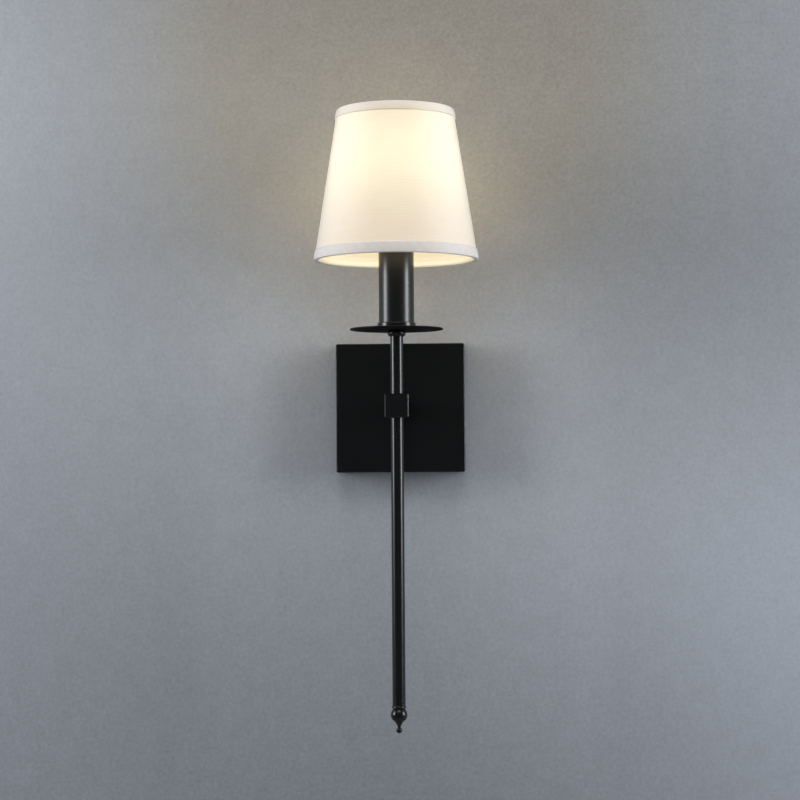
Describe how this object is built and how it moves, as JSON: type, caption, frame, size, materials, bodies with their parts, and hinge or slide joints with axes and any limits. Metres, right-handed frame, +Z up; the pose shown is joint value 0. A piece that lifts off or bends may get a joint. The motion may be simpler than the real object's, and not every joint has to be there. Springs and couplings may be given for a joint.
{
  "type": "wall lamp",
  "caption": "Wall lamp with a square plate, an upright rod on a stub arm, a finial below, and a candle sleeve, bulb and tapered linen shade above.",
  "frame": {"origin": "centre of the wall plate and of its mounting slots, on the wall plane", "axes": "+Z up along the rod, +Y into the wall, so the lamp stands out towards -Y"},
  "size_m": [0.1522, 0.1661, 0.5739],
  "materials": {
    "black_paint": "satin black enamel",
    "black_steel": "blackened steel",
    "zinc_steel": "zinc plated",
    "brass": "plain brass",
    "black_phenolic": "moulded, thermoset",
    "white_nylon": "moulded nylon",
    "green_insulation": "flexible insulation",
    "black_insulation": "flexible insulation",
    "white_insulation": "flexible insulation",
    "white_wire": "white enamelled wire",
    "shade_card": "translucent shade card",
    "linen": "plain woven off-white linen",
    "linen_tape": "plain woven off-white tape",
    "frosted_glass": "frosted",
    "nickel_cap": "bright nickel",
    "dark_glass": "dark vitrite",
    "clear_glass": "clear",
    "filament": "phosphor coated"
  },
  "bodies": {
    "lamp": {"wall_plate": "black_paint", "stub_arm": "black_paint", "cross_block": "black_paint", "lower_rod": "black_paint", "finial": "black_paint", "upper_rod": "black_paint", "collar": "black_paint", "drip_disc": "black_paint", "seat_cup": "black_paint", "candle_sleeve": "black_paint", "plate_screws": "black_steel", "mounting_bar": "zinc_steel", "stub_washer": "zinc_steel", "stub_nut": "zinc_steel", "seat_nut": "zinc_steel", "block_nipples": "zinc_steel", "stub_nipple": "zinc_steel", "centre_tube": "zinc_steel", "terminal_fixing": "zinc_steel", "earth_screw": "brass", "earth_tag": "brass", "screw_shell": "brass", "centre_contact": "brass", "terminal_posts": "brass", "terminal_screws": "brass", "socket_cap": "black_phenolic", "socket_body": "black_phenolic", "terminal_block": "white_nylon", "earth_lead": "green_insulation", "lead_live": "black_insulation", "lead_neutral": "white_insulation"},
    "shade": {"fitter_ring": "white_wire", "spider_arms": "white_wire", "top_hoop": "white_wire", "bottom_hoop": "white_wire", "shade_liner": "shade_card", "shade_linen": "linen", "top_tape": "linen_tape", "bottom_tape": "linen_tape"},
    "ring_nut": {"shade_ring": "black_phenolic"},
    "bulb": {"bulb_envelope": "frosted_glass", "bulb_cap": "nickel_cap", "bulb_button": "nickel_cap", "bulb_insulator": "dark_glass", "bulb_stem": "clear_glass", "filaments": "filament"}
  },
  "joints": [
    {"name": "shade_turn", "type": "hinge", "parent": "lamp", "child": "shade", "pos_m": [0, -0.09, 0.1756], "axis": [0, 0, 1], "continuous": true},
    {"name": "shade_ring_unscrew", "type": "hinge", "parent": "lamp", "child": "ring_nut", "pos_m": [0, -0.09, 0.1771], "axis": [0, 0, 1], "range_deg": [0, 1080]},
    {"name": "bulb_unscrew", "type": "hinge", "parent": "lamp", "child": "bulb", "pos_m": [0, -0.09, 0.1521], "axis": [0, 0, 1], "range_deg": [0, 1620]}
  ]
}
